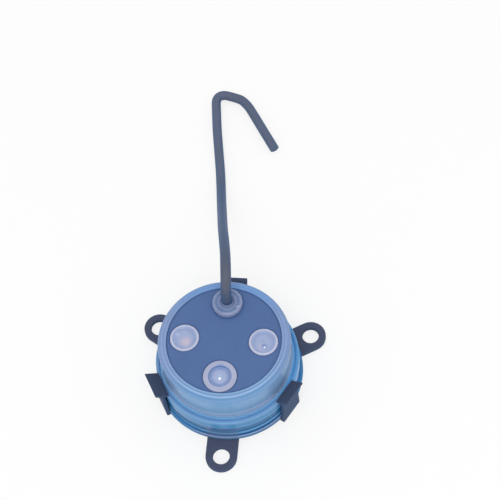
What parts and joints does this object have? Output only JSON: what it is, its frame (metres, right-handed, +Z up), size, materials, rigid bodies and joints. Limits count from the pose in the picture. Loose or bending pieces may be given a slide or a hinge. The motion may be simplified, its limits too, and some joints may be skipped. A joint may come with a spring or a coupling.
{
  "type": "water leak sensor",
  "caption": "Round point water leak sensor: a sealed stepped body with a lit window, snapped into a floor bracket with holed lugs, with a cord from a boss on its top.",
  "frame": {"origin": "on the body's axis at the underside of the bracket, the plane that the sensor stands on; the light guide's tip is 0.35 mm above it", "axes": "+Z up along the body's axis, -Y towards the front lug and the window, +Y towards the cord's boss, +X to the right"},
  "size_m": [0.05, 0.1201, 0.034],
  "materials": {
    "bracket_plastic": "fine matt moulding, dark grey violet",
    "housing_plastic": "translucent blue fluoroplastic",
    "disc_plastic": "satin blue lid",
    "frosted_plastic": "frosted translucent",
    "seal_rubber": "pale lilac seal",
    "clear_plastic": "clear, polished",
    "cord_jacket": "smooth fluoroplastic jacket, grey blue",
    "board_laminate": "solder mask",
    "component_black": "moulded package",
    "component_white": "moulded package",
    "bright_steel": "bright",
    "solder_tin": "tinned",
    "core_brown": "wire insulation",
    "core_blue": "wire insulation",
    "core_black": "wire insulation"
  },
  "bodies": {
    "root": {"mounting_bracket": "bracket_plastic", "lower_housing": "housing_plastic", "seal_ring": "seal_rubber", "upper_shell": "housing_plastic", "top_disc": "disc_plastic", "left_cap": "frosted_plastic", "right_cap": "frosted_plastic", "window_cap": "frosted_plastic", "left_screw": "bright_steel", "right_screw": "bright_steel", "light_pipe": "clear_plastic", "cord_boss": "frosted_plastic", "boss_nut": "bright_steel", "cord_jacket": "cord_jacket", "circuit_board": "board_laminate", "board_screw_1": "bright_steel", "board_screw_2": "bright_steel", "board_screw_3": "bright_steel", "light_guide": "clear_plastic", "guide_retainer": "bright_steel", "emitter": "component_black", "receiver": "component_black", "indicator_lamp": "component_white", "driver_chip": "component_black", "terminal_strip": "solder_tin", "capacitor": "bright_steel", "core_brown": "core_brown", "core_blue": "core_blue", "core_black": "core_black"}
  },
  "joints": []
}
